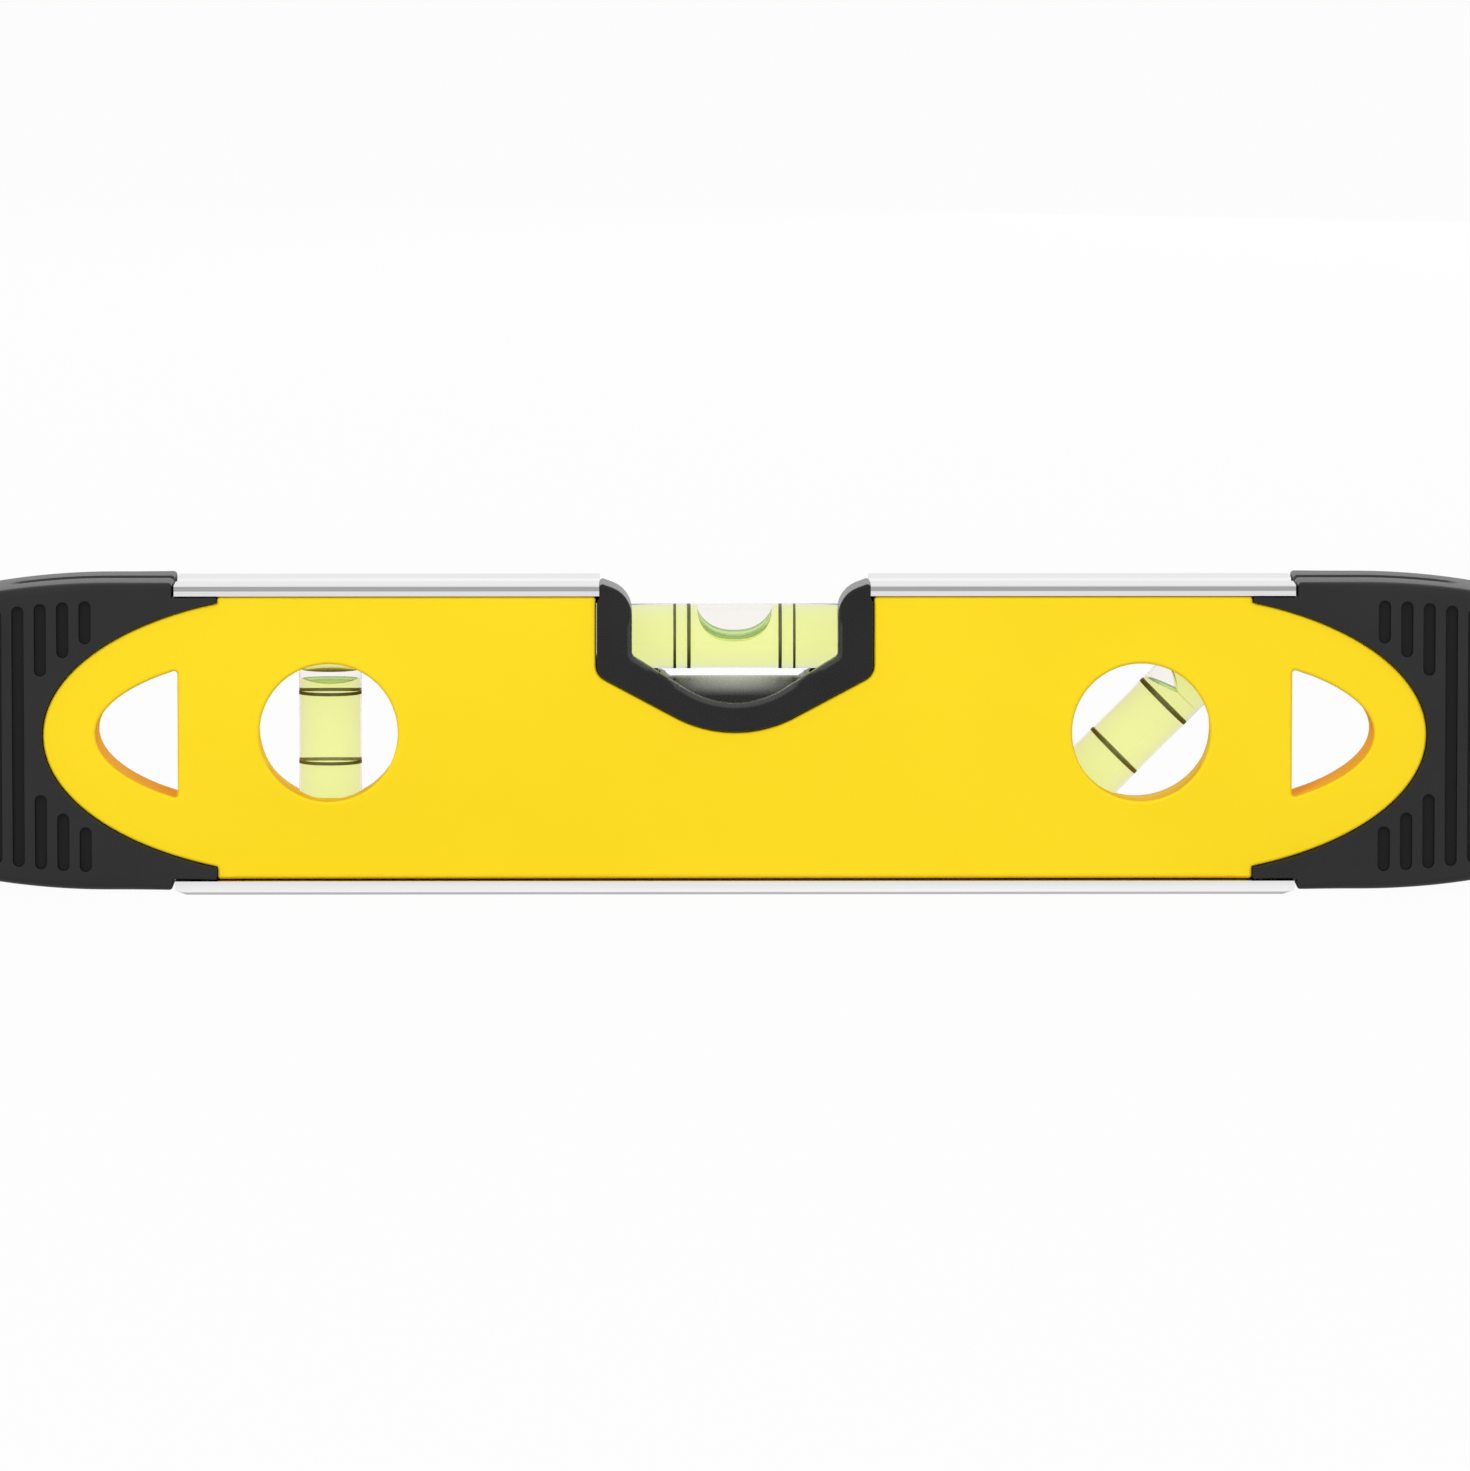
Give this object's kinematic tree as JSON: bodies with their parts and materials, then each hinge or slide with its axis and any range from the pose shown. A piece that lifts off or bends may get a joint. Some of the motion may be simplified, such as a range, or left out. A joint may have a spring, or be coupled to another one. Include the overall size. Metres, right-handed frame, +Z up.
{
  "type": "spirit level",
  "caption": "Torpedo spirit level: moulded body with grooved metal rails, grip end caps, a window vial, a plumb vial and a slanted vial, each with a sliding bubble.",
  "frame": {"origin": "on the base face, under the middle of the level", "axes": "+X along the level, towards the slanted vial; +Y through its thickness, away from the pictured face; +Z up, from the base rail to the top rails"},
  "size_m": [0.23, 0.022, 0.0463],
  "materials": {
    "yellow_moulding": "smooth moulded plastic, soft gloss",
    "black_grip": "matt moulded grip rubber",
    "black_moulding": "satin moulded plastic",
    "aluminium": "bright extruded aluminium",
    "clear_acrylic": "clear polished acrylic",
    "vial_liquid": "clear yellow-green liquid",
    "bubble_air": "clear air bubble",
    "line_ink": "printed ink"
  },
  "bodies": {
    "level": {"body_front": "yellow_moulding", "body_rear": "yellow_moulding", "end_cap_left": "black_grip", "end_cap_right": "black_grip", "top_rail_left": "aluminium", "top_rail_right": "aluminium", "bottom_rail": "aluminium", "window_bezel_front": "black_moulding", "window_bezel_rear": "black_moulding", "centre_vial_tube": "clear_acrylic", "centre_vial_plug": "clear_acrylic", "centre_vial_liquid": "vial_liquid", "centre_gauge_line_1": "line_ink", "centre_gauge_line_2": "line_ink", "centre_gauge_line_3": "line_ink", "centre_gauge_line_4": "line_ink", "plumb_vial_tube": "clear_acrylic", "plumb_vial_plug": "clear_acrylic", "plumb_vial_liquid": "vial_liquid", "plumb_gauge_line_lower": "line_ink", "plumb_gauge_line_upper": "line_ink", "slant_vial_tube": "clear_acrylic", "slant_vial_plug": "clear_acrylic", "slant_vial_liquid": "vial_liquid", "slant_gauge_line_lower": "line_ink", "slant_gauge_line_upper": "line_ink"},
    "centre_air": {"centre_bubble": "bubble_air"},
    "plumb_air": {"plumb_bubble": "bubble_air"},
    "slant_air": {"slant_bubble": "bubble_air"}
  },
  "joints": [
    {"name": "centre_bubble_slide", "type": "slide", "parent": "level", "child": "centre_air", "axis": [1, 0, 0], "range_m": [-0.0108, 0.0108], "stiffness_N_per_m": 0.5, "deforming": ["centre_vial_liquid"]},
    {"name": "plumb_bubble_slide", "type": "slide", "parent": "level", "child": "plumb_air", "axis": [0, 0, 1], "range_m": [-0.0198, 0], "stiffness_N_per_m": 0.5, "springref_m": 0.05, "deforming": ["plumb_vial_liquid"]},
    {"name": "slant_bubble_slide", "type": "slide", "parent": "level", "child": "slant_air", "axis": [0.7071, 0, 0.7071], "range_m": [-0.0198, 0], "stiffness_N_per_m": 0.5, "springref_m": 0.05, "deforming": ["slant_vial_liquid"]}
  ]
}
